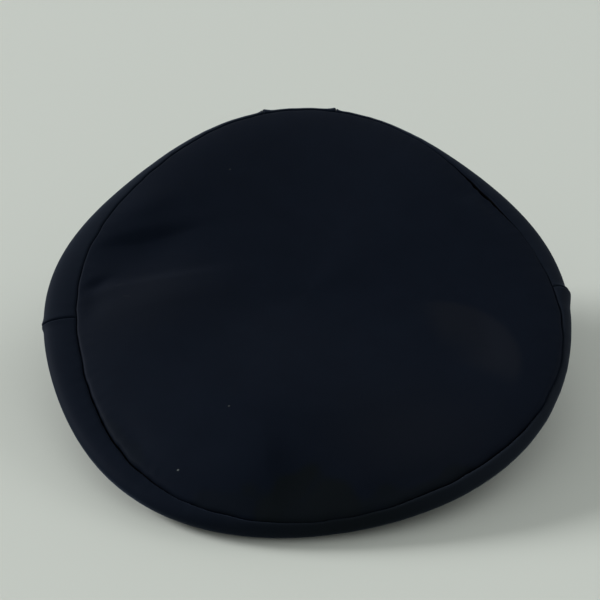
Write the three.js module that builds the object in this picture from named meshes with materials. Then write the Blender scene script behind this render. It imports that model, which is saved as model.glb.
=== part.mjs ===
// A peaked police cap: a wide soft crown of navy cloth on a plain band, with a glossy black peak.
// Millimetres, +Z up. The shapes are worked out in the cap's own frame, where the band is level,
// the peak points to -Y and +X is on the wearer's left. The whole cap is then leant back, because
// it rests on the back of its band and on the edge of its peak. The crown has sunk onto the band,
// and droops behind it right down to the floor.

import * as THREE from 'three';
import { mergeVertices } from 'three/addons/utils/BufferGeometryUtils.js';

// Thicknesses and gaps
const CLOTH = 2; // wall of the crown
const SEAM_GAP = 0.5; // gap across an upright seam of the crown, at the rim
const SEAT_GAP = 0.35; // gap where one piece sits on another

// Band: an upright oval wall, whose middle lies forward of the crown's axis
const BAND_HALF_WIDTH = 87;
const BAND_HALF_LENGTH = 101.5;
const BAND_FORWARD = 17;
const BAND_HEIGHT = 28;
const BAND_WALL = 3;

// Resting place: how far the cap leans back, in degrees, and how far the floor flattens the band
const LEAN = 6.5;
const REST_FLAT = 0.6;

// Crown: the rolled edge round its rim, and the wall that runs from it down to the band
const ROLL = 5; // radius of the rolled edge
const HEM_INSET = 0.5; // the hem stands this far inside the band's outer face
const HEM_HEIGHT = 1; // upright foot of the wall on the band
const WALL_BULGE = 2; // the wall between rim and hem bows out by this much
const TOP_PUFF = 3; // the top panel swells by this much just inside its seam
const TOP_SAG = 3; // and sinks by this much in its middle
const PUFF_POWER = 10; // higher keeps the swelling and the dents closer to the seam

// The back of the band holds the top panel up. The lift is greatest at an angle, and power keeps it
// near there. Along the way out to the seam the panel is highest at the crest, and beyond it falls
// away, in a straight line if fall is one and more roundly if it is greater.
const HOLD = { around: 165, lift: 9, power: 5, crest: 0.62, fall: 1.4 };

// The rim at every 30 degrees from the front, towards the wearer's left: the reach of the rolled
// edge's middle line from the crown's axis, its height above the band's lower edge, and how far
// inside that line the top panel's seam lies, less than zero where it lies over the outer side.
const RIM = [
  { around: 0, reach: 140, height: 66, inset: 1 },
  { around: 30, reach: 128, height: 61.5, inset: 2 },
  { around: 60, reach: 125, height: 49, inset: 6.5 },
  { around: 90, reach: 128.5, height: 33, inset: 11.5 },
  { around: 120, reach: 129.5, height: 19, inset: 8.8 },
  { around: 150, reach: 136, height: 12, inset: 2.7 },
  { around: 180, reach: 132.5, height: 12, inset: -2.3 },
  { around: 210, reach: 131.5, height: 18, inset: 0 },
  { around: 240, reach: 128.5, height: 27.5, inset: -2 },
  { around: 270, reach: 125.5, height: 39, inset: 3 },
  { around: 300, reach: 122.3, height: 52.3, inset: 6.3 },
  { around: 330, reach: 128.1, height: 62.5, inset: 1.3 },
];

// The crown's side panels. Each starts at an upright seam, which raises a small ridge on the rim.
const PANELS = [
  { name: 'front_panel', from: -8.6, to: 8.6, steps: 4, ridge: 2.2, spread: 2.5 },
  { name: 'quarter_left', from: 8.6, to: 94.2, steps: 17, ridge: 2.2, spread: 2.5 },
  { name: 'back_quarter', from: 94.2, to: 269.3, steps: 36, ridge: 1, spread: 3 },
  { name: 'quarter_right', from: 269.3, to: 351.4, steps: 16, ridge: 1.8, spread: 5 },
];

// Dents of the top panel: middle, direction of the long axis, half length, half width on its right
// and on its left, and depth. A depth below zero is a swelling.
const DENTS = [
  { name: 'left valley', x: 85, y: -38, turn: 12, length: 23, right: 7, left: 22, depth: 3.6 },
  { name: 'left shoulder', x: 86, y: -62, turn: 20, length: 24, right: 14, left: 10, depth: -1.4 },
  { name: 'left fold', x: 73, y: 10, turn: 12, length: 34, right: 17, left: 40, depth: -3.8 },
  { name: 'left pucker', x: 108, y: -9, turn: 20, length: 9, right: 5, left: 6, depth: 2.4 },
  { name: 'right groove', x: -94, y: -63, turn: 118, length: 21, right: 5, left: 5, depth: 2.6 },
  { name: 'right bowl', x: -84, y: 38, turn: 100, length: 24, right: 22, left: 9, depth: 1.8 },
  { name: 'back fold', x: 24, y: 116, turn: 95, length: 22, right: 30, left: 9, depth: -2.6 },
  { name: 'back dip', x: 6, y: 122, turn: 0, length: 20, right: 12, left: 12, depth: 1.6 },
];

// Peak: a curved sheet from the band's lower front edge down to the floor
const PEAK_SPREAD = 60; // degrees round the band to each end
const PEAK_REACH = 42; // how far it stands out in front, seen from above
const PEAK_END = 4; // how far it stands out at its ends
const PEAK_FULLNESS = 0.9; // less than one makes the edge squarer
const PEAK_SHEET = 2.5;
const PEAK_ROOT = 0.5; // height of the root's underside above the band's lower edge
const PEAK_ARCH = 2.5; // how far its middle bows up
const PEAK_FOOT = 24; // degrees round the band over which its edge meets the floor
const PEAK_FOOT_SHARE = 0.4; // most of the peak's width that its edge's flat underside takes up

// Finishes
const CROWN_CLOTH = { color: 0x11161f, roughness: 0.9, metalness: 0 };
const BAND_CLOTH = { color: 0x0e121a, roughness: 0.9, metalness: 0 };
const PEAK_GLOSS = { color: 0x08080a, roughness: 0.15, metalness: 0 };

// Steps of the meshes, and how close two corners lie when they are one
const ROLL_STEPS = 8;
const WALL_STEPS = 4;
const TOP_RINGS = 16;
const TOP_STEPS = 72;
const BAND_STEPS = 72;
const PEAK_STEPS = 30;
const PEAK_RINGS = 5;
const WELD = 1e-3;

const radians = THREE.MathUtils.degToRad;
const degrees = THREE.MathUtils.radToDeg;

// A column of the rim's table at any angle, as a smooth wave through its rows. Inside the rim the
// wave dies down as a stretched skin does, from inward = 1 at the rim to their mean at 0.
function rimValue(column, angle, inward = 1) {
  const half = RIM.length / 2;
  let sum = 0;
  for (const row of RIM) {
    const turn = radians(angle - row.around);
    let share = 1 + inward ** half * Math.cos(half * turn);
    for (let wave = 1; wave < half; wave++) {
      share += 2 * inward ** wave * Math.cos(wave * turn);
    }
    sum += row[column] * share / RIM.length;
  }
  return sum;
}

// How far the upright seams lift the rolled edge at an angle
function ridgeHeight(angle) {
  let lift = 0;
  for (const panel of PANELS) {
    const turn = THREE.MathUtils.euclideanModulo(angle - panel.from + 180, 360) - 180;
    const distance = radians(turn) * rimValue('reach', angle);
    lift += panel.ridge * Math.exp(-((distance / panel.spread) ** 2));
  }
  return lift;
}

// Distance from the crown's axis to an oval set forward as the band is
function ovalReach(angle, halfWidth, halfLength) {
  const across = Math.sin(radians(angle)) / halfWidth;
  const along = Math.cos(radians(angle)) / halfLength;
  const shift = BAND_FORWARD / halfLength;
  const square = across ** 2 + along ** 2;
  const root = Math.sqrt((along * shift) ** 2 + square * (1 - shift ** 2));
  return (along * shift + root) / square;
}

// Floor under the leaning cap, in the cap's own frame
const BAND_BACK = BAND_HALF_LENGTH - BAND_FORWARD;
function floorHeight(y) {
  return REST_FLAT - (BAND_BACK - y) * Math.tan(radians(LEAN));
}

function place(angle, reach, height) {
  const turn = radians(angle);
  return new THREE.Vector3(reach * Math.sin(turn), -reach * Math.cos(turn), height);
}

// Where the top panel's seam meets the roll, as an angle above level
function seamTurn(inset) {
  return inset < 0 ? Math.acos(-inset / ROLL) : Math.PI / 2;
}

// The seam edge of the side panels, at a depth below the cloth's outer face
function seamEdge(angle, depth) {
  const inset = rimValue('inset', angle);
  const turn = seamTurn(inset);
  const reach = rimValue('reach', angle) - Math.max(inset, 0) + (ROLL - depth) * Math.cos(turn);
  const height = rimValue('height', angle) + (ROLL - depth) * Math.sin(turn);
  return { reach, height };
}

// Profile of a side panel at an angle, from the seam over the roll and down the wall to the hem,
// at a depth below its outer face
function sideProfile(angle, depth) {
  const reach = rimValue('reach', angle);
  const height = rimValue('height', angle);
  const inset = rimValue('inset', angle);
  const ridge = ridgeHeight(angle);
  const radius = ROLL - depth;

  const foot = ovalReach(angle, BAND_HALF_WIDTH, BAND_HALF_LENGTH) - HEM_INSET;
  const hemTop = BAND_HEIGHT + SEAT_GAP + HEM_HEIGHT;
  const slope = Math.atan2(height - hemTop, reach - foot);
  const hem = {
    reach: foot - depth,
    bottom: BAND_HEIGHT + SEAT_GAP,
    top: hemTop + depth * Math.tan(Math.PI / 4 - slope / 2),
  };

  // The wall leaves the roll where the line from the hem touches it
  const away = Math.hypot(reach - hem.reach, height - hem.top);
  const bearing = Math.atan2(height - hem.top, reach - hem.reach) - Math.PI;
  const leave = bearing + Math.acos(radius / away);

  const points = [];
  // The roll is an ellipse from the seam out to its widest place, and round below that
  const strip = Math.max(inset, 0);
  const start = seamTurn(inset);
  const upper = (strip + radius) * start;
  const length = upper - radius * leave;
  for (let step = 0; step <= ROLL_STEPS; step++) {
    const run = length * step / ROLL_STEPS;
    const turn = run < upper ? start - run / (strip + radius) : (upper - run) / radius;
    const lifted = radius + ridge * Math.max(Math.cos(turn), 0);
    const back = strip * (1 - Math.cos(Math.max(turn, 0)));
    points.push([reach - back + lifted * Math.cos(turn), height + lifted * Math.sin(turn)]);
  }
  const [fromReach, fromHeight] = points[ROLL_STEPS];
  for (let step = 1; step <= WALL_STEPS; step++) {
    const share = step / WALL_STEPS;
    const bow = WALL_BULGE * Math.sin(Math.PI * share);
    points.push([
      THREE.MathUtils.lerp(fromReach, hem.reach, share) + bow * Math.cos(leave),
      THREE.MathUtils.lerp(fromHeight, hem.top, share) + bow * Math.sin(leave),
    ]);
  }
  points.push([hem.reach, hem.bottom]);
  return points.map(([r, z]) => place(angle, r, z));
}

function dentDepth(x, y) {
  let depth = 0;
  for (const dent of DENTS) {
    const turn = radians(dent.turn);
    const along = (x - dent.x) * Math.cos(turn) + (y - dent.y) * Math.sin(turn);
    const across = (y - dent.y) * Math.cos(turn) - (x - dent.x) * Math.sin(turn);
    const width = across < 0 ? dent.right : dent.left;
    depth += dent.depth * Math.exp(-((along / dent.length) ** 2) - (across / width) ** 2);
  }
  return depth;
}

// How far the band's back holds the top panel up, at a share of the way out to the seam
function holdHeight(angle, share) {
  const near = ((1 + Math.cos(radians(angle - HOLD.around))) / 2) ** HOLD.power;
  const beyond = Math.max(share - HOLD.crest, 0) / (1 - HOLD.crest);
  const rise = THREE.MathUtils.smoothstep(share, 0, HOLD.crest) - beyond ** HOLD.fall;
  return HOLD.lift * near * rise;
}

// Profile of the top panel at an angle, from its middle out to its seam
function topProfile(angle, depth) {
  const edge = seamEdge(angle, depth);
  const points = [];
  for (let ring = 0; ring <= TOP_RINGS; ring++) {
    const share = ring / TOP_RINGS;
    const point = place(angle, share * (edge.reach - SEAM_GAP), 0);
    const inside = 1 - share ** PUFF_POWER;
    point.z = rimValue('height', angle, share) + ROLL - depth - TOP_SAG * (1 - share ** 2);
    point.z += (TOP_PUFF - dentDepth(point.x, point.y)) * inside + holdHeight(angle, share);
    if (ring === TOP_RINGS) {
      point.z = edge.height;
    }
    points.push(point);
  }
  return points;
}

// Profile of the band at an angle, from top to bottom, flattened where it stands on the floor
function bandProfile(angle, depth) {
  const reach = ovalReach(angle, BAND_HALF_WIDTH - depth, BAND_HALF_LENGTH - depth);
  const top = place(angle, reach, BAND_HEIGHT);
  const bottom = top.clone().setZ(Math.max(0, floorHeight(top.y)));
  return [top, bottom];
}

// Profile of the peak at an angle round the band, from its root out to its edge, which stands flat
// on the floor in front and rises to the root at the ends
function peakProfile(angle, depth) {
  const turn = radians(angle);
  const width = BAND_HALF_WIDTH + SEAT_GAP;
  const length = BAND_HALF_LENGTH + SEAT_GAP;
  const root = new THREE.Vector3(
    width * Math.sin(turn), -BAND_FORWARD - length * Math.cos(turn), PEAK_ROOT + PEAK_SHEET,
  );
  const out = new THREE.Vector3(Math.sin(turn) / width, -Math.cos(turn) / length, 0).normalize();
  const taper = Math.max(Math.cos(Math.PI / 2 * angle / PEAK_SPREAD), 0);
  const span = PEAK_END + (PEAK_REACH - PEAK_END) * taper ** PEAK_FULLNESS;

  const lift = THREE.MathUtils.smoothstep(Math.abs(angle), PEAK_FOOT, PEAK_SPREAD);
  const edgeAt = (distance) => {
    const point = root.clone().addScaledVector(out, distance);
    return point.setZ(THREE.MathUtils.lerp(floorHeight(point.y), PEAK_ROOT, lift));
  };
  const edge = edgeAt(span);
  const slope = Math.atan2(root.z - edge.z, span);
  const up = new THREE.Vector3(0, 0, Math.cos(slope)).addScaledVector(out, Math.sin(slope));

  const points = [root.clone().setZ(root.z - depth)];
  for (let ring = 1; ring < PEAK_RINGS; ring++) {
    const share = ring / PEAK_RINGS;
    const arch = PEAK_ARCH * Math.sin(Math.PI * share) * (1 - lift);
    points.push(root.clone().lerp(edge, share).addScaledVector(up, arch - depth));
  }
  const footWidth = Math.min(depth / Math.sin(slope), span * PEAK_FOOT_SHARE);
  points.push(edgeAt(span - footWidth));
  return points;
}

// A closed wall: its profile at each angle, at the outer face and at the inner one, joined all
// round into one body. A wall that isn't closed round the cap gets two end faces.
function wallGeometry(profile, angles, thickness, closed) {
  const outer = angles.map((angle) => profile(angle, 0));
  const inner = angles.map((angle) => profile(angle, thickness));
  const rows = outer[0].length;
  const positions = [];
  const quad = (a, b, c, d) => {
    for (const point of [a, b, c, a, c, d]) {
      positions.push(point.x, point.y, point.z);
    }
  };
  const spans = closed ? angles.length : angles.length - 1;
  for (let i = 0; i < spans; i++) {
    const k = (i + 1) % angles.length;
    for (let j = 0; j + 1 < rows; j++) {
      quad(outer[i][j], outer[i][j + 1], outer[k][j + 1], outer[k][j]);
      quad(inner[i][j], inner[k][j], inner[k][j + 1], inner[i][j + 1]);
    }
    quad(inner[i][0], outer[i][0], outer[k][0], inner[k][0]);
    quad(outer[i].at(-1), inner[i].at(-1), inner[k].at(-1), outer[k].at(-1));
  }
  if (!closed) {
    const last = angles.length - 1;
    for (let j = 0; j + 1 < rows; j++) {
      quad(inner[0][j], inner[0][j + 1], outer[0][j + 1], outer[0][j]);
      quad(outer[last][j], outer[last][j + 1], inner[last][j + 1], inner[last][j]);
    }
  }
  return weld(positions);
}

// Shared corners become one, and triangles that shrink to a line, as at the middle of the top
// panel, are left out
function weld(positions) {
  const loose = new THREE.BufferGeometry();
  loose.setAttribute('position', new THREE.Float32BufferAttribute(positions, 3));
  const geometry = mergeVertices(loose, WELD);
  const corners = geometry.getIndex().array;
  const kept = [];
  for (let i = 0; i < corners.length; i += 3) {
    const [a, b, c] = corners.subarray(i, i + 3);
    if (a !== b && b !== c && c !== a) {
      kept.push(a, b, c);
    }
  }
  geometry.setIndex(kept);
  geometry.computeVertexNormals();
  return geometry;
}

function turns(from, to, steps) {
  return Array.from({ length: steps + 1 }, (_, step) => THREE.MathUtils.lerp(from, to, step / steps));
}

function fullTurn(steps) {
  return turns(0, 360, steps).slice(0, -1);
}

// Angles of a side panel's sections: even steps, with two close ones on the ridge at each end
function panelTurns({ from, to, steps, spread }) {
  const reach = rimValue('reach', from);
  const gap = degrees(SEAM_GAP / 2 / reach);
  const ridge = degrees(spread / reach);
  return [
    from + gap,
    from + ridge / 2,
    ...turns(from + ridge, to - ridge, steps),
    to - ridge / 2,
    to - gap,
  ];
}

const cap = new THREE.Group();
function addPiece(name, geometry, finish) {
  const mesh = new THREE.Mesh(geometry, new THREE.MeshStandardMaterial(finish));
  mesh.name = name;
  cap.add(mesh);
}

addPiece('top_panel', wallGeometry(topProfile, fullTurn(TOP_STEPS), CLOTH, true), CROWN_CLOTH);
for (const panel of PANELS) {
  addPiece(panel.name, wallGeometry(sideProfile, panelTurns(panel), CLOTH, false), CROWN_CLOTH);
}
addPiece('band', wallGeometry(bandProfile, fullTurn(BAND_STEPS), BAND_WALL, true), BAND_CLOTH);
const peakTurns = turns(-PEAK_SPREAD, PEAK_SPREAD, PEAK_STEPS);
addPiece('peak', wallGeometry(peakProfile, peakTurns, PEAK_SHEET, false), PEAK_GLOSS);

// Lean the cap back onto the floor, with the origin under the middle of its box
cap.rotation.x = -radians(LEAN);
const box = new THREE.Box3().setFromObject(cap, true);
const middle = box.getCenter(new THREE.Vector3());
cap.position.set(-middle.x, -middle.y, -box.min.z);

const part = new THREE.Group();
part.add(cap);
part.updateMatrixWorld(true);

export default part;
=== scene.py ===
# A navy police cap: a wide soft crown on a plain band, with a glossy peak, dressed over its solids.

import math

import bmesh
import bpy
import numpy as np
from mathutils import Matrix, Vector


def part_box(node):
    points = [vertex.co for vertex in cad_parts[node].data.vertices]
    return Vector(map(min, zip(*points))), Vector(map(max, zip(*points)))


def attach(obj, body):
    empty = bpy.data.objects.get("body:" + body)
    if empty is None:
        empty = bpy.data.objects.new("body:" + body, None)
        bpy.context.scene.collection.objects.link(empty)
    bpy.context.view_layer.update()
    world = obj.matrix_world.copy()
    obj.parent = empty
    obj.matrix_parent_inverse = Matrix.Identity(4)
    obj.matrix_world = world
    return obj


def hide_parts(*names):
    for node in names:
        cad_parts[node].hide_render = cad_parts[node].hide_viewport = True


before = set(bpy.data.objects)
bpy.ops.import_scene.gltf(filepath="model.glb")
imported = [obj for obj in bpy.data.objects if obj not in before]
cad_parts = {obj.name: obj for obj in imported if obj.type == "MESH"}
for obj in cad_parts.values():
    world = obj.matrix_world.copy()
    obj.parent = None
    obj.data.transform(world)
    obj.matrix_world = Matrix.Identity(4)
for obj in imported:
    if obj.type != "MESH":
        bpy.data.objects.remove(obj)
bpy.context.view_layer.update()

# Sizes are millimetres in the cap's own frame: the band is level, the peak points to -Y, +X is on the
# wearer's left, and angles turn from the front towards the wearer's left.
MM = 0.001
LEAN = 6.5  # degrees that the cap leans back where it rests
REST_FLAT = 0.6  # how far the floor flattens the back of the band

BAND_HALF_WIDTH = 87
BAND_HALF_LENGTH = 101.5
BAND_FORWARD = 17  # the band's middle lies this far in front of the crown's axis
BAND_HEIGHT = 28
BAND_WALL = 3
BAND_BULGE = 0.6  # its cloth swells by this much between its two folded edges
BAND_BACK = BAND_HALF_LENGTH - BAND_FORWARD
BAND_FRONT = BAND_HALF_LENGTH + BAND_FORWARD

CLOTH = 2  # wall of the crown, cloth with its backing
SEAM_GAP = 0.25  # what shows between two panels at the bottom of a seam
SEAM_SPARE = 1.2  # a seam deeper than this presses the cloth's inner face down too
SEAT_GAP = 0.35  # between the crown's hem and the band, and between the peak and the band
TURN = 1.2  # radius of the turned edge of a panel at its seam
ROLL = 5  # radius of the rolled edge round the rim
HEM_INSET = 0.5
HEM_HEIGHT = 1
WALL_BULGE = 2
TOP_PUFF = 3  # the top panel swells by this much just inside its seam
TOP_SAG = 3  # and sinks by this much in its middle
PUFF_POWER = 10

# The back of the band holds the top panel up. The lift is greatest at an angle, and power keeps it
# near there. Along the way out to the seam the panel is highest at the crest, and then falls away.
HOLD = dict(around=165, lift=9, power=5, crest=0.62, fall=1.4)

# The rim: reach of the rolled edge's middle line, its height, and how far inside it the seam lies
RIM = (
    dict(around=0, reach=140, height=66, inset=1),
    dict(around=30, reach=128, height=61.5, inset=2),
    dict(around=60, reach=125, height=49, inset=6.5),
    dict(around=90, reach=128.5, height=33, inset=11.5),
    dict(around=120, reach=129.5, height=19, inset=8.8),
    dict(around=150, reach=136, height=12, inset=2.7),
    dict(around=180, reach=132.5, height=12, inset=-2.3),
    dict(around=210, reach=131.5, height=18, inset=0),
    dict(around=240, reach=128.5, height=27.5, inset=-2),
    dict(around=270, reach=125.5, height=39, inset=3),
    dict(around=300, reach=122.3, height=52.3, inset=6.3),
    dict(around=330, reach=128.1, height=62.5, inset=1.3),
)

# Side panels. Each starts at an upright seam, whose thick end lifts the rim by ridge, over a stretch
# before and after it.
PANELS = (
    dict(name="front_panel", start=-8.6, end=8.6, ridge=2.2, before=1.3, after=4),
    dict(name="quarter_left", start=8.6, end=94.2, ridge=2.2, before=4, after=1.3),
    dict(name="back_quarter", start=94.2, end=269.3, ridge=1.0, before=3, after=2),
    dict(name="quarter_right", start=269.3, end=351.4, ridge=1.8, before=7, after=1.6),
)

# Folds and dents of the top panel: middle, direction of the long axis, half length, half width on its
# right-hand and left-hand side, and depth, less than zero for a swelling
FOLDS = (
    dict(x=85, y=-38, turn=12, length=23, right=5, left=22, depth=3.6),
    dict(x=86, y=-62, turn=20, length=24, right=14, left=10, depth=-1.4),
    dict(x=73, y=10, turn=12, length=34, right=17, left=40, depth=-3.8),
    dict(x=74, y=-8, turn=10, length=30, right=5, left=13, depth=-1.1),
    dict(x=109, y=-10, turn=20, length=8, right=3, left=5, depth=2.6),
    dict(x=109, y=3, turn=80, length=9, right=5, left=8, depth=1.4),
    dict(x=-94, y=-63, turn=118, length=21, right=4, left=4, depth=2.6),
    dict(x=-84, y=38, turn=100, length=24, right=22, left=9, depth=1.8),
    dict(x=24, y=116, turn=95, length=22, right=30, left=9, depth=-2.6),
    dict(x=6, y=122, turn=0, length=20, right=12, left=12, depth=1.6),
    dict(x=-43, y=121, turn=19, length=32, right=7, left=4, depth=1.4),
    dict(x=85, y=84, turn=124, length=18, right=4, left=6, depth=1),
    dict(x=40, y=124, turn=157, length=16, right=4, left=6, depth=0.8),
    dict(x=-86, y=-63, turn=118, length=8, right=5, left=5, depth=0.8),
)

# Where the top panel's seam is deeper and wider or, less than zero, pressed nearly shut: middle and
# half spread in degrees, and the changes as shares of its depth and width
SEAM_CHANGES = (
    dict(around=60, spread=35, deeper=-0.3, wider=0),
    dict(around=140, spread=25, deeper=0.3, wider=0.3),
    dict(around=215, spread=30, deeper=0.5, wider=0.6),
    dict(around=284, spread=13, deeper=-0.9, wider=0),
    dict(around=328, spread=8, deeper=-0.6, wider=0),
)
# Where the top panel has drawn in from its seam, by a width, and shows its turned-in edge, painted
# near-black as shade
PARTED = (
    dict(around=304, spread=9, width=1.7),
    dict(around=282, spread=11, width=-0.15),
    dict(around=217, spread=24, width=0.5),
    dict(around=138, spread=24, width=0.5),
)

# Small gathers along the seams, and soft folds down the crown's wall: height, reach and waves round
# the cap
GATHER = 0.16
GATHER_FADE = 5
GATHER_WAVES = (47, 71, 98, 131)
SEAM_UNEVEN = 0.35  # share of a seam's depth that comes and goes along it
SEAM_WAVER = 0.45  # how far the top panel's seam strays from its smooth line
SEAM_WAVES = (19, 27, 38, 53)
DRAPE = 0.7
DRAPE_WAVES = (9, 13, 22, 31)

PEAK_SPREAD = 60
PEAK_REACH = 42
PEAK_END = 4
PEAK_FULLNESS = 0.9
PEAK_SHEET = 2.5
PEAK_ROOT = 0.5
PEAK_ARCH = 2.5
PEAK_FOOT = 24
PEAK_BEAD = 1.7  # radius of the bound edge
PEAK_BINDING = 5  # width of the bound edge
PEAK_BOUND_SHARE = 0.6  # most of the peak's depth that the bound edge takes, near the ends
PEAK_BOUND_RISE = 1  # width of the step from the sheet up to the bound edge
PEAK_EDGE = 0.1  # half of what is left between the upper and the lower side at the very edge
PEAK_CLEAR = 0.12  # between the bound edge and the floor

# Steps of the meshes
STEP = 1.7
TURN_STEPS = 5
TOP_RINGS = 92
ROLL_ROWS = 22
WALL_ROWS = 30
PEAK_COLUMNS = 140
PEAK_ROWS = 24
BINDING_ROWS = 6
BEAD_ROWS = 6
SHARP_ANGLE = 50  # faces that meet more sharply, in degrees, aren't smoothed

# Camera: what it looks at, how far away it is, and how far above the band's plane and round from the
# back, towards the wearer's left
CAMERA_AIM = (4.5, 0, 37)
CAMERA_AWAY = 683
CAMERA_ABOVE = 36
CAMERA_ROUND = 2
CAMERA_VIEW = 25  # degrees across the picture

# Light: soft lamps, by the bearing and height that they shine from and their spread, in degrees, and
# a pale sky. Bearings turn from +X, the wearer's left, to +Y, behind the cap.
LAMPS = (
    dict(name="left_lamp", bearing=-23, height=21, spread=18, strength=2.9),
    dict(name="far_lamp", bearing=-75, height=24, spread=30, strength=0.18),
    dict(name="right_lamp", bearing=-155, height=30, spread=40, strength=0.45),
    dict(name="top_lamp", bearing=110, height=72, spread=60, strength=0.2),
)
SKY_COLOUR = (0.92, 0.95, 0.93)
SKY_STRENGTH = 0.43
FLOOR_HALF = 20  # half width of the floor, in metres
FLOOR_COLOUR = (0.60, 0.63, 0.587)
FLOOR_ROUGHNESS = 0.8

# Marks and painted light in the top panel's cloth. The lighter crescent lies inside a circle, between two
# bearings.
LIGHTER_CRESCENT = dict(x=-62, y=48, reach=37, inner=0, full=0.7, rim=0.06, bearing=215, spread=60, fade=16)
# Olive-grey patches: the first three make the olive patch at the back, and the last three are painted
# shade in shallow valleys just inside the seam
OLIVE_PATCHES_AND_PAINTED_SHADE = (
    dict(x=14, y=121, turn=20, length=13, width=9, amount=1),
    dict(x=-3, y=126, turn=-10, length=13, width=9, amount=1),
    dict(x=9, y=131, turn=0, length=22, width=6, amount=0.9),
    dict(x=-43, y=123, turn=19, length=34, width=5, amount=0.7),
    dict(x=90, y=84, turn=124, length=20, width=4, amount=0.3),
    dict(x=40, y=126, turn=157, length=18, width=4, amount=0.4),
)
OLIVE_PATCH_FADE = (0.75, 1.35)  # shares of the way out of an olive patch between which it dies away
OLIVE_PATCH_EDGE = 0.3  # how ragged the olive patches' edges are
OLIVE_PATCH_WAVES = (0.11, 0.19, 0.31)  # per millimetre
# Painted light: patches where the top's colour is painted lighter, for the light on the lit slope at the
# left and on the lower right
PAINTED_LIGHT_PATCHES = (
    dict(x=86, y=7, turn=12, length=34, width=22, amount=0.6),
    dict(x=-45, y=98, turn=0, length=44, width=26, amount=0.8),
)
# Stretches of the roll, in degrees, where its colour is painted lighter as sheen and light, and where it
# takes the olive-grey tint as a painted reflection
PAINTED_SHEEN_ROLL = (
    dict(around=228, spread=46, amount=1),
    dict(around=72, spread=30, amount=0.25),
)
# Painted reflection: the back of the roll takes the olive-grey tint for the shadowed floor that it
# reflects
ROLL_PAINTED_REFLECTION = dict(around=186, spread=20)
LINT = (
    dict(x=39.6, y=-87.2, turn=0, length=0.5, width=0.4, amount=0.3),
    dict(x=39.8, y=78.8, turn=0, length=0.5, width=0.45, amount=0.35),
    dict(x=62.7, y=106.7, turn=0, length=0.5, width=0.4, amount=1),
    dict(x=95.5, y=-7.5, turn=30, length=1.6, width=0.25, amount=0.08),
    dict(x=91, y=2, turn=-15, length=2, width=0.25, amount=0.08),
)

# Colours of the cloth, and of the light, sheen, shade and reflection painted on it
NAVY = (0.0045, 0.0067, 0.0123)
# The lighter colour, of the lighter crescent and of painted light
LIGHTER_AND_PAINTED_LIGHT = (0.0073, 0.0091, 0.0140)
# Olive-grey, of the olive patches, of painted shade beside the seam and of the painted reflection on the
# roll
OLIVE_GREY = (0.0055, 0.0073, 0.0089)
# Painted sheen: a lighter colour on the roll
PAINTED_SHEEN = (0.0094, 0.0120, 0.0172)
LINT_WHITE = (0.10, 0.11, 0.11)

# Twill: distance between its ribs, their direction, how much they waver, and their bump, with the
# height in metres. At scale 1 a wave texture runs through WAVE_TURNS radians in each unit.
TWILL = dict(pitch=0.62, turn=63, waver=0.6, detail=1.0, bump=0.25, height=0.0001)
WAVE_TURNS = 20
UNEVEN_CLOTH = dict(scale=0.06, detail=4.0, share=0.15)  # soft patches of lighter and darker dye
CLOTH_ROUGHNESS = 0.55
CLOTH_GLOSS = dict(level=0.02, tint=(0.5, 0.66, 1.0))
SHEEN_ROUGHNESS = 0.4
SHEEN_TINT = (0.43, 0.62, 1.0)
TOP_SHEEN = 0.014
CROWN_SHEEN = 0.07
BAND_SHEEN = 0.03

# Matte finishes: colour, roughness and grains per metre, and how strong the grain is in all of them
UNDERSIDE = dict(colour=(0.010, 0.010, 0.011), roughness=0.6, grain=900.0)
INSIDE = dict(colour=(0.012, 0.012, 0.014), roughness=0.9, grain=1500.0)
# Painted shade: near-black edges of the crown's cloth, which show in the seams' gaps in place of their
# shade
SEAM_EDGE_PAINTED_SHADE = dict(colour=(0.0008, 0.0010, 0.0016), roughness=0.9, grain=1500.0)
GRAIN = dict(detail=3.0, share=0.2, bump=0.3, height=0.0002)
MATTE_GLOSS = 0.1

# The peak's polish: between its clean and its smeared places, and how uneven its surface is
POLISH = dict(clean=(0.0035, 0.0035, 0.0040), smeared=(0.0060, 0.0060, 0.0066))
SMEARS = dict(scale=28.0, detail=5.0, waver=1.2, low=0.35, high=0.75, clean=0.08, smeared=0.24)
RIPPLES = dict(scale=90.0, detail=1.0, bump=0.12, height=0.0006)


def rim_waves(column):
    """The waves round the rim that pass through a column of its table, as cosine and sine parts."""
    half = len(RIM) // 2
    waves = []
    for wave in range(half + 1):
        share = (1 if wave in (0, half) else 2) / len(RIM)
        turns = [math.radians(wave * row["around"]) for row in RIM]
        cosine = sum(row[column] * math.cos(turn) for row, turn in zip(RIM, turns))
        sine = sum(row[column] * math.sin(turn) for row, turn in zip(RIM, turns))
        waves.append((share * cosine, share * sine))
    return waves


RIM_WAVES = {column: rim_waves(column) for column in ("reach", "height", "inset")}


def rim(column, angle, inward=1.0):
    """A column of the rim's table at any angle. Inside the rim its waves die down as on a skin."""
    value = 0
    for wave, (cosine, sine) in enumerate(RIM_WAVES[column]):
        value = value + inward**wave * (cosine * np.cos(wave * angle) + sine * np.sin(wave * angle))
    return value


def seam_ridge(angle):
    """How far the thick ends of the upright seams lift the rolled edge."""
    lift = 0
    for panel in PANELS:
        turn = np.mod(angle - math.radians(panel["start"]) + math.pi, math.tau) - math.pi
        distance = turn * rim("reach", angle)
        stretch = np.where(distance < 0, panel["before"], panel["after"])
        lift = lift + panel["ridge"] * np.exp(-((distance / stretch) ** 2))
    return lift


def uneven(angle, waves):
    """An uneven wave round the cap, between -1 and 1."""
    return sum(np.cos(wave * angle + wave * wave) for wave in waves) / len(waves)


def gathers(angle, distance):
    """Small gathers that a seam pulls into the cloth beside it."""
    return GATHER * uneven(angle, GATHER_WAVES) * np.exp(-distance / GATHER_FADE)


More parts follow.
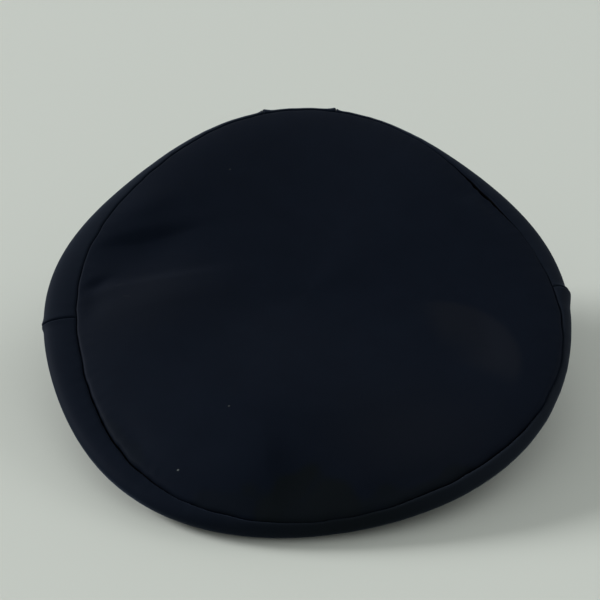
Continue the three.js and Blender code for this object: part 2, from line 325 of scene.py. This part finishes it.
def seam_waver(angle):
    """How far inwards the top panel's seam strays from its smooth line."""
    return SEAM_WAVER * uneven(angle, SEAM_WAVES)


def nearness(angle, place):
    """1 at a place round the rim, dying away over its spread."""
    turn = np.mod(angle - math.radians(place["around"]) + math.pi, math.tau) - math.pi
    return np.exp(-((np.degrees(turn) / place["spread"]) ** 2))


def parted(angle):
    """How far the top panel has drawn in from its seam."""
    width = sum(place["width"] * nearness(angle, place) for place in PARTED)
    return width * (1 + SEAM_UNEVEN * uneven(angle, GATHER_WAVES))


def turned_down(distance):
    """How far a turned edge lies below the cloth, at a distance from its seam."""
    inside = TURN - np.clip(distance, 0, TURN)
    return TURN - np.sqrt(TURN**2 - inside**2)


def seam_down(angle, distance):
    """How far the cloth turns down at the top panel's seam."""
    deep = 1 + SEAM_UNEVEN * uneven(angle, GATHER_WAVES)
    wide = 1
    for place in SEAM_CHANGES:
        deep = deep * (1 + place["deeper"] * nearness(angle, place))
        wide = wide * (1 + place["wider"] * nearness(angle, place))
    return deep * turned_down(distance / wide)


def turned_steps():
    """Distances from a seam, closer together where the turned edge curves down."""
    turns = np.linspace(0, math.pi / 2, TURN_STEPS + 1)
    return TURN * (1 - np.cos(turns))


def steps_with_turned_ends(length):
    ends = turned_steps()
    count = round((length - 2 * TURN) / STEP)
    middle = np.linspace(TURN, length - TURN, count + 1)
    return np.concatenate([ends[:-1], middle, (length - ends[::-1])[1:]])


def oval_reach(angle, half_width, half_length):
    """Distance from the crown's axis to an oval set forward as the band is."""
    across = np.sin(angle) / half_width
    along = np.cos(angle) / half_length
    shift = BAND_FORWARD / half_length
    square = across**2 + along**2
    root = np.sqrt((along * shift) ** 2 + square * (1 - shift**2))
    return (along * shift + root) / square


def floor_height(y):
    """Height of the floor under the leaning cap."""
    return REST_FLAT - (BAND_BACK - y) * math.tan(math.radians(LEAN))


def around(angle, reach, height):
    return np.stack([reach * np.sin(angle), -reach * np.cos(angle), height + 0 * angle], axis=-1)


def dents(x, y):
    depth = 0
    for fold in FOLDS:
        turn = math.radians(fold["turn"])
        along = (x - fold["x"]) * math.cos(turn) + (y - fold["y"]) * math.sin(turn)
        across = (y - fold["y"]) * math.cos(turn) - (x - fold["x"]) * math.sin(turn)
        width = np.where(across < 0, fold["right"], fold["left"])
        depth = depth + fold["depth"] * np.exp(-((along / fold["length"]) ** 2) - (across / width) ** 2)
    return depth


def smooth_share(value, low, high):
    share = np.clip((value - low) / (high - low), 0, 1)
    return share * share * (3 - 2 * share)


def held_up(angle, share):
    """How far the band's back holds the top panel up, at a share of the way out to the seam."""
    near = ((1 + np.cos(angle - math.radians(HOLD["around"]))) / 2) ** HOLD["power"]
    beyond = np.maximum(share - HOLD["crest"], 0) / (1 - HOLD["crest"])
    return HOLD["lift"] * near * (smooth_share(share, 0, HOLD["crest"]) - beyond ** HOLD["fall"])


def lighter_crescent(x, y):
    """How much lighter the cloth is in the crescent, between 0 and 1."""
    out = np.hypot(x - LIGHTER_CRESCENT["x"], y - LIGHTER_CRESCENT["y"]) / LIGHTER_CRESCENT["reach"]
    bearing = np.degrees(np.arctan2(y - LIGHTER_CRESCENT["y"], x - LIGHTER_CRESCENT["x"])) % 360
    aside = abs(bearing - LIGHTER_CRESCENT["bearing"])
    inside = smooth_share(out, LIGHTER_CRESCENT["inner"], LIGHTER_CRESCENT["full"])
    inside = inside * (1 - smooth_share(out, 1 - LIGHTER_CRESCENT["rim"], 1 + LIGHTER_CRESCENT["rim"]))
    ends = smooth_share(aside, LIGHTER_CRESCENT["spread"] - LIGHTER_CRESCENT["fade"], LIGHTER_CRESCENT["spread"] + LIGHTER_CRESCENT["fade"])
    return inside * (1 - ends)


def from_middle(x, y, patch):
    """How far out of an oval patch of cloth a place lies: 0 in its middle and 1 on its edge."""
    turn = math.radians(patch["turn"])
    along = (x - patch["x"]) * math.cos(turn) + (y - patch["y"]) * math.sin(turn)
    across = (y - patch["y"]) * math.cos(turn) - (x - patch["x"]) * math.sin(turn)
    return np.hypot(along / patch["length"], across / patch["width"])


def painted_light(x, y):
    """How much painted light lightens the cloth, between 0 and 1."""
    return sum(patch["amount"] * np.exp(-from_middle(x, y, patch) ** 2) for patch in PAINTED_LIGHT_PATCHES)


def olive_patches_and_shade(x, y):
    """How much the cloth takes the olive-grey tint, in olive patches and in painted shade beside the seam,
    between 0 and 1.
    """
    amount = 0
    ragged = sum(np.sin(wave * x + 3 * wave) * np.cos(wave * y) for wave in OLIVE_PATCH_WAVES)
    for olive_patch in OLIVE_PATCHES_AND_PAINTED_SHADE:
        out = from_middle(x, y, olive_patch) + OLIVE_PATCH_EDGE * ragged
        amount = np.maximum(amount, olive_patch["amount"] * (1 - smooth_share(out, *OLIVE_PATCH_FADE)))
    return amount


def seam_turn(inset):
    """Where the top panel's seam meets the roll, as an angle above level."""
    return np.where(inset < 0, np.arccos(np.clip(-inset / ROLL, 0, 1)), math.pi / 2)


def round_from_square(across, along):
    """Ring and angle of a corner of a square grid, whose nested squares become rings."""
    ring = np.maximum(abs(across), abs(along))
    wide = abs(across) > abs(along)
    side = np.where(wide, across, along)
    other = np.where(wide, along, across)
    share = other / np.where(side == 0, 1, side)
    turn = math.pi / 4 * np.where(wide, share, 2 - share) + np.where(side < 0, math.pi, 0)
    return ring, turn + math.pi / 2


def top_panel_surface(column, row, depth):
    """The top panel, on a square grid with its seam round the outside."""
    rings = TOP_RINGS + TURN_STEPS
    ring, angle = round_from_square(column - rings, row - rings)
    inset = rim("inset", angle)
    seam = seam_turn(inset)
    smooth_edge = rim("reach", angle) - np.maximum(inset, 0) + (ROLL - depth) * np.cos(seam) - SEAM_GAP
    edge = smooth_edge - seam_waver(angle) - parted(angle)
    turned = turned_steps()[np.clip(rings - ring, 0, TURN_STEPS)]
    distance = np.where(ring > TOP_RINGS, turned, edge - (edge - TURN) * ring / TOP_RINGS)
    share = np.minimum((edge - distance) / smooth_edge, 1)
    place = around(angle, edge - distance, rim("height", angle, share) + ROLL - depth)

    inside = 1 - share**PUFF_POWER
    over = np.maximum(-inset - distance, 0)
    rise = (TOP_PUFF - dents(place[:, 0], place[:, 1])) * inside - TOP_SAG * (1 - share**2)
    rise = rise - (ROLL - np.sqrt(ROLL**2 - over**2)) + held_up(angle, share)
    if depth == 0:
        rise = rise - seam_down(angle, distance) + gathers(angle, distance)
    else:
        rise = rise - np.maximum(seam_down(angle, distance) - SEAM_SPARE, 0)
    x = place[:, 0]
    y = place[:, 1]
    place[:, 2] += rise
    # The lighter crescent, and painted light
    lightened = np.maximum(lighter_crescent(x, y), painted_light(x, y))
    return place, np.stack([x, y, 0 * x], axis=-1), np.stack([lightened, olive_patches_and_shade(x, y), 0 * x], axis=-1)


def side_panel_surface(panel):
    """A side panel from the seam over the roll and down the wall to its hem. Returns its surface and
    the number of its columns and rows."""
    start = math.radians(panel["start"])
    end = math.radians(panel["end"])
    middle_reach = rim("reach", (start + end) / 2)
    length = (end - start) * middle_reach - SEAM_GAP
    along = steps_with_turned_ends(length)
    turned = turned_steps()
    roll_end = TURN_STEPS + ROLL_ROWS
    wall_end = roll_end + WALL_ROWS
    rows = wall_end + TURN_STEPS + 1

    def surface(column, row, depth):
        angle = start + (along[column] + SEAM_GAP / 2) / middle_reach
        from_end = np.minimum(along[column], length - along[column])
        reach = rim("reach", angle)
        height = rim("height", angle)
        inset = rim("inset", angle)
        radius = ROLL - depth
        ridge = seam_ridge(angle)

        foot = oval_reach(angle, BAND_HALF_WIDTH, BAND_HALF_LENGTH) - HEM_INSET
        hem_bottom = BAND_HEIGHT + SEAT_GAP
        hem_top = hem_bottom + HEM_HEIGHT
        slope = np.arctan2(height - hem_top, reach - foot)
        hem_reach = foot - depth
        hem_top = hem_top + depth * np.tan(math.pi / 4 - slope / 2)

        # The wall leaves the roll where the line from the hem touches it
        away = np.hypot(reach - hem_reach, height - hem_top)
        bearing = np.arctan2(height - hem_top, reach - hem_reach) - math.pi
        leave = bearing + np.arccos(radius / away)

        # The roll is an ellipse from the seam out to its widest place, and round below that
        seam = seam_turn(inset)
        strip = np.maximum(inset, 0)
        upper = (strip + radius) * seam
        run_length = upper - radius * leave
        even = TURN + (run_length - TURN) * (row - TURN_STEPS) / ROLL_ROWS
        run = np.where(row < TURN_STEPS, turned[np.clip(row, 0, TURN_STEPS)], even)
        run = np.minimum(run, run_length)
        waver = seam_waver(angle) * np.exp(-run / GATHER_FADE)
        turn = np.where(run < upper, seam - run / (strip + radius), (upper - run) / radius)
        if depth == 0:
            relief = gathers(angle, run) - np.maximum(seam_down(angle, run), turned_down(from_end))
        else:
            relief = -np.maximum(seam_down(angle, run) - SEAM_SPARE, 0)
        lifted = radius + ridge * np.maximum(np.cos(turn), 0) + relief
        roll_reach = reach - strip * (1 - np.cos(np.maximum(turn, 0))) + lifted * np.cos(turn)
        roll_reach = roll_reach - waver * np.sin(seam)
        roll_height = height + lifted * np.sin(turn) + waver * np.cos(seam)

        # Wall
        share = np.clip((row - roll_end) / WALL_ROWS, 0, 1)
        lifted = radius + ridge * np.maximum(np.cos(leave), 0)
        facing = leave * (1 - share**3)
        bow = WALL_BULGE * np.sin(math.pi * share)
        relief = 0 * angle
        if depth == 0:
            relief = DRAPE * uneven(angle, DRAPE_WAVES) * np.sin(math.pi * share) - turned_down(from_end)
        wall_reach = (reach + lifted * np.cos(leave)) * (1 - share) + hem_reach * share
        wall_height = (height + lifted * np.sin(leave)) * (1 - share) + hem_top * share
        wall_reach = wall_reach + bow * np.cos(leave) + relief * np.cos(facing)
        wall_height = wall_height + bow * np.sin(leave) + relief * np.sin(facing)

        # Hem
        above = turned[np.clip(rows - 1 - row, 0, TURN_STEPS)] * HEM_HEIGHT / TURN
        hem_height = hem_bottom + above
        hem_in = 0 * angle
        if depth == 0:
            hem_in = np.maximum(turned_down(above * TURN / HEM_HEIGHT), turned_down(from_end))

        on_roll = row <= roll_end
        on_wall = row <= wall_end
        out = np.where(on_roll, roll_reach, np.where(on_wall, wall_reach, hem_reach - hem_in))
        up = np.where(on_roll, roll_height, np.where(on_wall, wall_height, hem_height))
        place = around(angle, out, up)
        down = np.where(on_roll, run, run_length + share * away + np.where(on_wall, 0, TURN))
        cloth = np.stack([along[column], down, 0 * angle], axis=-1)
        # Painted sheen: a lighter colour on stretches of the roll
        painted_sheen = sum(stretch["amount"] * nearness(angle, stretch) for stretch in PAINTED_SHEEN_ROLL) * on_roll
        # Painted reflection: the olive-grey tint at the back of the roll
        painted_reflection = nearness(angle, ROLL_PAINTED_REFLECTION) * on_roll
        return place, cloth, np.stack([0 * angle, painted_reflection, painted_sheen], axis=-1)

    return surface, len(along), rows


def band_surface():
    """The band, from a join at the back right round. Returns its surface and its columns and rows."""
    mean_reach = (BAND_HALF_WIDTH + BAND_HALF_LENGTH) / 2
    length = math.tau * mean_reach - SEAM_GAP
    along = steps_with_turned_ends(length)
    down = steps_with_turned_ends(BAND_HEIGHT)

    def surface(column, row, depth):
        angle = math.pi + (along[column] + SEAM_GAP / 2) / mean_reach
        reach = oval_reach(angle, BAND_HALF_WIDTH - depth, BAND_HALF_LENGTH - depth)
        share = down[row] / BAND_HEIGHT
        if depth == 0:
            from_join = np.minimum(along[column], length - along[column])
            from_edge = np.minimum(down[row], BAND_HEIGHT - down[row])
            reach = reach + BAND_BULGE * np.sin(math.pi * share)
            reach = reach - np.maximum(turned_down(from_join), turned_down(from_edge))
        bottom = np.maximum(0, floor_height(-reach * np.cos(angle)))
        place = around(angle, reach, BAND_HEIGHT + (bottom - BAND_HEIGHT) * share)
        return place, np.stack([along[column], down[row], 0 * angle], axis=-1), 0 * place

    return surface, len(along), len(down)


def peak_surface(column, row, depth):
    """The peak, from its root on the band out to its bound edge, with its upper side at depth 0."""
    angle = np.radians(PEAK_SPREAD) * (2 * column / PEAK_COLUMNS - 1)
    width = BAND_HALF_WIDTH + SEAT_GAP
    length = BAND_HALF_LENGTH + SEAT_GAP
    root_x = width * np.sin(angle)
    root_y = -BAND_FORWARD - length * np.cos(angle)
    out_x = np.sin(angle) / width
    out_y = -np.cos(angle) / length
    size = np.hypot(out_x, out_y)
    out_x = out_x / size
    out_y = out_y / size

    share = np.abs(np.degrees(angle)) / PEAK_SPREAD
    span = PEAK_END + (PEAK_REACH - PEAK_END) * np.cos(math.pi / 2 * share).clip(0) ** PEAK_FULLNESS
    binding = np.minimum(PEAK_BINDING, span * PEAK_BOUND_SHARE)
    bead = np.minimum(PEAK_BEAD, binding / 2)
    plain = (span - binding) * row / PEAK_ROWS
    bound = span - binding + (binding - bead) * (row - PEAK_ROWS) / BINDING_ROWS
    turn = math.pi / 2 * np.clip((row - PEAK_ROWS - BINDING_ROWS) / BEAD_ROWS, 0, 1)
    distance = np.where(row <= PEAK_ROWS, plain, bound)
    distance = np.where(row > PEAK_ROWS + BINDING_ROWS, span - bead * (1 - np.sin(turn)), distance)

    # The bound edge stands on the floor in front and rises to the root at the ends
    lift = smooth_share(np.abs(np.degrees(angle)), PEAK_FOOT, PEAK_SPREAD)
    above_floor = bead / math.cos(math.radians(LEAN)) + PEAK_CLEAR
    stand = floor_height(root_y + out_y * (span - bead)) + above_floor
    edge_height = stand * (1 - lift) + (PEAK_ROOT + bead) * lift
    root_height = PEAK_ROOT + PEAK_SHEET / 2
    slope = np.arctan2(root_height - edge_height, span - bead)
    bow = PEAK_ARCH * np.sin(math.pi * np.clip(distance / (span - bead), 0, 1)) * (1 - lift)

    raised = smooth_share(distance, span - binding, span - binding + PEAK_BOUND_RISE)
    thick = PEAK_SHEET / 2 + (bead - PEAK_SHEET / 2) * raised
    rounded = np.maximum(bead * np.cos(turn), PEAK_EDGE)
    thick = np.where(row > PEAK_ROWS + BINDING_ROWS, rounded, thick)
    off = bow + np.where(depth == 0, thick, -thick)
    reach = distance + off * np.sin(slope)
    height = root_height - distance * np.tan(slope) + off * np.cos(slope)
    place = np.stack([root_x + out_x * reach, root_y + out_y * reach, height], axis=-1)
    return place, np.stack([np.degrees(angle), distance, 0 * angle], axis=-1), 0 * place


def seat_in_frame():
    """The turn that leans the cap back, and where its own origin lies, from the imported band's box."""
    turn = Matrix.Rotation(-math.radians(LEAN), 3, "X")
    low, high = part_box("band")
    top_back = turn @ Vector((0, BAND_BACK, BAND_HEIGHT))
    top_front = turn @ Vector((0, -BAND_FRONT, BAND_HEIGHT))
    origin = Vector(((low.x + high.x) / 2, high.y - top_back.y * MM, high.z - top_front.z * MM))
    return turn, origin


CAP_TURN, CAP_ORIGIN = seat_in_frame()


def in_frame(place):
    """Points of the cap's own frame, as points of the part's frame in metres."""
    return np.asarray(place) @ np.array(CAP_TURN).T * MM + np.array(CAP_ORIGIN)


def wall_piece(name, surface, columns, rows, thickness, finishes):
    """A closed wall: one copy of a flat grid becomes its outer face, the other its inner face. The
    finishes are those of its outer face, its inner face and its edges."""
    made = bmesh.new()
    cloth_layer = made.verts.layers.float_vector.new("cloth")
    # A second vector at each corner carries the cloth's marks and its painted light, sheen, shade and
    # reflection
    marks_and_painted_light_layer = made.verts.layers.float_vector.new("marks_and_painted_light")
    bmesh.ops.create_grid(made, x_segments=columns - 1, y_segments=rows - 1, size=1)
    outer = made.verts[:]
    outer_faces = made.faces[:]
    grown = bmesh.ops.extrude_face_region(made, geom=outer_faces)["geom"]
    inner = [part for part in grown if isinstance(part, bmesh.types.BMVert)]
    inner_faces = {part for part in grown if isinstance(part, bmesh.types.BMFace)}
    for face in set(made.faces) - set(outer_faces):
        face.material_index = 1 if face in inner_faces else 2
    for corners, depth in ((outer, 0), (inner, thickness)):
        flat = np.array([corner.co for corner in corners])
        column = np.rint((flat[:, 0] + 1) / 2 * (columns - 1)).astype(int)
        row = np.rint((flat[:, 1] + 1) / 2 * (rows - 1)).astype(int)
        places, cloths, marks_and_painted_light = surface(column, row, depth)
        for corner, place, cloth, mark_and_paint in zip(corners, in_frame(places), cloths, marks_and_painted_light):
            corner.co = place
            corner[cloth_layer] = cloth
            corner[marks_and_painted_light_layer] = mark_and_paint
    bmesh.ops.recalc_face_normals(made, faces=made.faces[:])
    mesh = bpy.data.meshes.new(name)
    made.to_mesh(mesh)
    made.free()
    mesh.shade_smooth()
    mesh.set_sharp_from_angle(angle=math.radians(SHARP_ANGLE))
    for finish in finishes:
        mesh.materials.append(finish)
    piece = bpy.data.objects.new(name, mesh)
    bpy.context.scene.collection.objects.link(piece)
    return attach(piece, "root")


def cloth_piece(node, surface, columns, rows, wall, finishes):
    """A cloth piece in the place of its solid, with the size that it was cut to."""
    piece = wall_piece(node + "_cloth", surface, columns, rows, wall, finishes)
    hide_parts(node)
    return piece


def add(tree, kind, inputs=None, **settings):
    """A node with its settings; an input is a value, or a socket to join it to."""
    node = tree.nodes.new(kind)
    for name, value in settings.items():
        setattr(node, name, value)
    for name, value in (inputs or {}).items():
        if isinstance(value, bpy.types.NodeSocket):
            tree.links.new(value, node.inputs[name])
        else:
            node.inputs[name].default_value = value
    return node


def new_finish(name):
    finish = bpy.data.materials.new(name)
    finish.use_nodes = True
    return finish, finish.node_tree, finish.node_tree.nodes["Principled BSDF"]


def mixed(tree, share, below, above):
    """A colour that goes from one to the other as the share goes from 0 to 1."""
    return add(tree, "ShaderNodeMixRGB", {"Fac": share, "Color1": below, "Color2": above}).outputs["Color"]


def noise(tree, place, kind):
    """A soft noise between 0 and 1."""
    inputs = {"Vector": place, "Scale": kind["scale"], "Detail": kind["detail"]}
    inputs["Distortion"] = kind.get("waver", 0.0)
    return add(tree, "ShaderNodeTexNoise", inputs).outputs["Fac"]


def shade(tree, share, low, high):
    """A colour that a noise takes from one to the other."""
    ramp = add(tree, "ShaderNodeValToRGB", {"Fac": share})
    ramp.color_ramp.elements[0].color = (*low, 1)
    ramp.color_ramp.elements[1].color = (*high, 1)
    return ramp.outputs["Color"]


def lighter_and_darker(colour, share):
    """A colour made darker, and made lighter, by a share."""
    return [(1 - share) * part for part in colour], [(1 + share) * part for part in colour]


def bump(tree, shader, height, kind):
    """Gives a finish the bumps of a pattern."""
    inputs = {"Height": height, "Strength": kind["bump"], "Distance": kind["height"]}
    node = add(tree, "ShaderNodeBump", inputs)
    tree.links.new(node.outputs["Normal"], shader.inputs["Normal"])


def lint_share(tree, cloth):
    """How much of the cloth's colour a bit of lint on it hides, between 0 and 1."""
    share = 0.0
    for bit in LINT:
        near = add(
            tree, "ShaderNodeMapping",
            {
                "Vector": cloth, "Location": (bit["x"], bit["y"], 0),
                "Rotation": (0, 0, math.radians(bit["turn"])), "Scale": (bit["length"], bit["width"], 1),
            },
            vector_type="TEXTURE",
        )
        away = add(tree, "ShaderNodeVectorMath", {"Vector": near.outputs["Vector"]}, operation="LENGTH")
        inside = add(tree, "ShaderNodeMath", {0: away.outputs["Value"], 1: 1.0}, operation="LESS_THAN")
        share = add(
            tree, "ShaderNodeMath",
            {0: inside.outputs["Value"], 1: bit["amount"], 2: share},
            operation="MULTIPLY_ADD",
        )
        share = share.outputs["Value"]
    return share


def cloth_finish(name, sheen, has_lint=False):
    """Fine navy twill, a little uneven in colour, with its lighter and olive-grey places, and with painted
    light, sheen, shade and reflection.
    """
    finish, tree, shader = new_finish(name)
    cloth = add(tree, "ShaderNodeAttribute", attribute_name="cloth").outputs["Vector"]
    turned = add(
        tree, "ShaderNodeMapping",
        {"Vector": cloth, "Rotation": (0, 0, math.radians(TWILL["turn"]))},
    ).outputs["Vector"]
    twill = add(
        tree, "ShaderNodeTexWave",
        {
            "Vector": turned, "Scale": math.tau / (WAVE_TURNS * TWILL["pitch"]),
            "Distortion": TWILL["waver"], "Detail": TWILL["detail"],
        },
        wave_type="BANDS", bands_direction="X",
    ).outputs["Fac"]
    bump(tree, shader, twill, TWILL)

    patches = noise(tree, cloth, UNEVEN_CLOTH)
    colour = shade(tree, patches, *lighter_and_darker(NAVY, UNEVEN_CLOTH["share"]))
    marks_and_painted_light = add(tree, "ShaderNodeAttribute", attribute_name="marks_and_painted_light").outputs["Vector"]
    parts = add(tree, "ShaderNodeSeparateXYZ", {"Vector": marks_and_painted_light}).outputs
    # The lighter crescent and painted light, then painted sheen, then olive patches, painted shade and
    # painted reflection
    colour = mixed(tree, parts["X"], colour, (*LIGHTER_AND_PAINTED_LIGHT, 1))
    colour = mixed(tree, parts["Z"], colour, (*PAINTED_SHEEN, 1))
    colour = mixed(tree, parts["Y"], colour, (*OLIVE_GREY, 1))
    if has_lint:
        colour = mixed(tree, lint_share(tree, cloth), colour, (*LINT_WHITE, 1))
    tree.links.new(colour, shader.inputs["Base Color"])
    shader.inputs["Roughness"].default_value = CLOTH_ROUGHNESS
    shader.inputs["Specular IOR Level"].default_value = CLOTH_GLOSS["level"]
    shader.inputs["Specular Tint"].default_value = (*CLOTH_GLOSS["tint"], 1)
    shader.inputs["Sheen Weight"].default_value = sheen
    shader.inputs["Sheen Roughness"].default_value = SHEEN_ROUGHNESS
    shader.inputs["Sheen Tint"].default_value = (*SHEEN_TINT, 1)
    return finish


def plain_finish(name, colour, roughness, grain):
    """A matte finish with a fine grain, given in grains per metre."""
    finish, tree, shader = new_finish(name)
    place = add(tree, "ShaderNodeTexCoord").outputs["Object"]
    grains = noise(tree, place, dict(GRAIN, scale=grain))
    uneven_colour = shade(tree, grains, *lighter_and_darker(colour, GRAIN["share"]))
    tree.links.new(uneven_colour, shader.inputs["Base Color"])
    bump(tree, shader, grains, GRAIN)
    shader.inputs["Roughness"].default_value = roughness
    shader.inputs["Specular IOR Level"].default_value = MATTE_GLOSS
    return finish


def gloss_finish(name):
    """Polished black, with faint smears and a surface that isn't quite even."""
    finish, tree, shader = new_finish(name)
    place = add(tree, "ShaderNodeTexCoord").outputs["Object"]
    smears = noise(tree, place, SMEARS)
    rough = add(
        tree, "ShaderNodeMapRange",
        {
            "Value": smears, "From Min": SMEARS["low"], "From Max": SMEARS["high"],
            "To Min": SMEARS["clean"], "To Max": SMEARS["smeared"],
        },
    )
    colour = shade(tree, smears, POLISH["clean"], POLISH["smeared"])
    tree.links.new(colour, shader.inputs["Base Color"])
    tree.links.new(rough.outputs["Result"], shader.inputs["Roughness"])
    bump(tree, shader, noise(tree, place, RIPPLES), RIPPLES)
    return finish


def floor_and_light():
    """A plain pale floor, a pale sky and the lamps."""
    stage = bmesh.new()
    bmesh.ops.create_grid(stage, x_segments=1, y_segments=1, size=FLOOR_HALF)
    mesh = bpy.data.meshes.new("floor")
    stage.to_mesh(mesh)
    stage.free()
    floor = bpy.data.objects.new("floor", mesh)
    bpy.context.scene.collection.objects.link(floor)
    finish, tree, shader = new_finish("pale_floor")
    shader.inputs["Base Color"].default_value = (*FLOOR_COLOUR, 1)
    shader.inputs["Roughness"].default_value = FLOOR_ROUGHNESS
    mesh.materials.append(finish)

    world = bpy.data.worlds.new("studio")
    bpy.context.scene.world = world
    world.use_nodes = True
    sky = world.node_tree.nodes["Background"]
    sky.inputs["Color"].default_value = (*SKY_COLOUR, 1)
    sky.inputs["Strength"].default_value = SKY_STRENGTH

    for lamp in LAMPS:
        bearing = math.radians(lamp["bearing"])
        height = math.radians(lamp["height"])
        out = math.cos(height)
        source = Vector((out * math.cos(bearing), out * math.sin(bearing), math.sin(height)))
        light = bpy.data.lights.new(lamp["name"], "SUN")
        light.energy = lamp["strength"]
        light.angle = math.radians(lamp["spread"])
        holder = bpy.data.objects.new(lamp["name"], light)
        holder.rotation_euler = (-source).to_track_quat("-Z", "Y").to_euler()
        bpy.context.scene.collection.objects.link(holder)


def camera():
    """The camera, level with the band as in the photograph."""
    above = math.radians(CAMERA_ABOVE)
    away = math.radians(CAMERA_ROUND)
    back = np.array([math.sin(away) * math.cos(above), math.cos(away) * math.cos(above), math.sin(above)])
    place = Vector(in_frame(np.array(CAMERA_AIM) + CAMERA_AWAY * back))
    look = (Vector(in_frame(CAMERA_AIM)) - place).normalized()
    right = look.cross(CAP_TURN @ Vector((0, 0, 1))).normalized()
    lens = bpy.data.cameras.new("camera")
    lens.lens = lens.sensor_width / 2 / math.tan(math.radians(CAMERA_VIEW) / 2)
    eye = bpy.data.objects.new("camera", lens)
    turn = Matrix((right, right.cross(look), -look)).transposed()
    eye.matrix_world = Matrix.Translation(place) @ turn.to_4x4()
    bpy.context.scene.collection.objects.link(eye)
    bpy.context.scene.camera = eye


camera()
floor_and_light()
bpy.context.scene.view_settings.view_transform = "Standard"

top_cloth = cloth_finish("top_cloth", TOP_SHEEN, has_lint=True)
crown_cloth = cloth_finish("crown_cloth", CROWN_SHEEN)
band_cloth = cloth_finish("band_cloth", BAND_SHEEN)
peak_gloss = gloss_finish("peak_gloss")
peak_underside = plain_finish("peak_underside", **UNDERSIDE)
inside_cloth = plain_finish("inside_cloth", **INSIDE)
# Painted shade for the seams' edges
seam_edge_painted_shade = plain_finish("seam_edge_painted_shade", **SEAM_EDGE_PAINTED_SHADE)

rings = 2 * (TOP_RINGS + TURN_STEPS) + 1
cloth_piece(
    "top_panel", top_panel_surface, rings, rings, CLOTH,
    [top_cloth, inside_cloth, seam_edge_painted_shade],
)
for panel in PANELS:
    surface, columns, rows = side_panel_surface(panel)
    cloth_piece(
        panel["name"], surface, columns, rows, CLOTH,
        [crown_cloth, inside_cloth, seam_edge_painted_shade],
    )
surface, columns, rows = band_surface()
cloth_piece(
    "band", surface, columns, rows, BAND_WALL, [band_cloth, inside_cloth, band_cloth],
)
peak = wall_piece(
    "peak_sheet", peak_surface, PEAK_COLUMNS + 1, PEAK_ROWS + BINDING_ROWS + BEAD_ROWS + 1, PEAK_SHEET,
    [peak_gloss, peak_underside, peak_gloss],
)
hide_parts("peak")
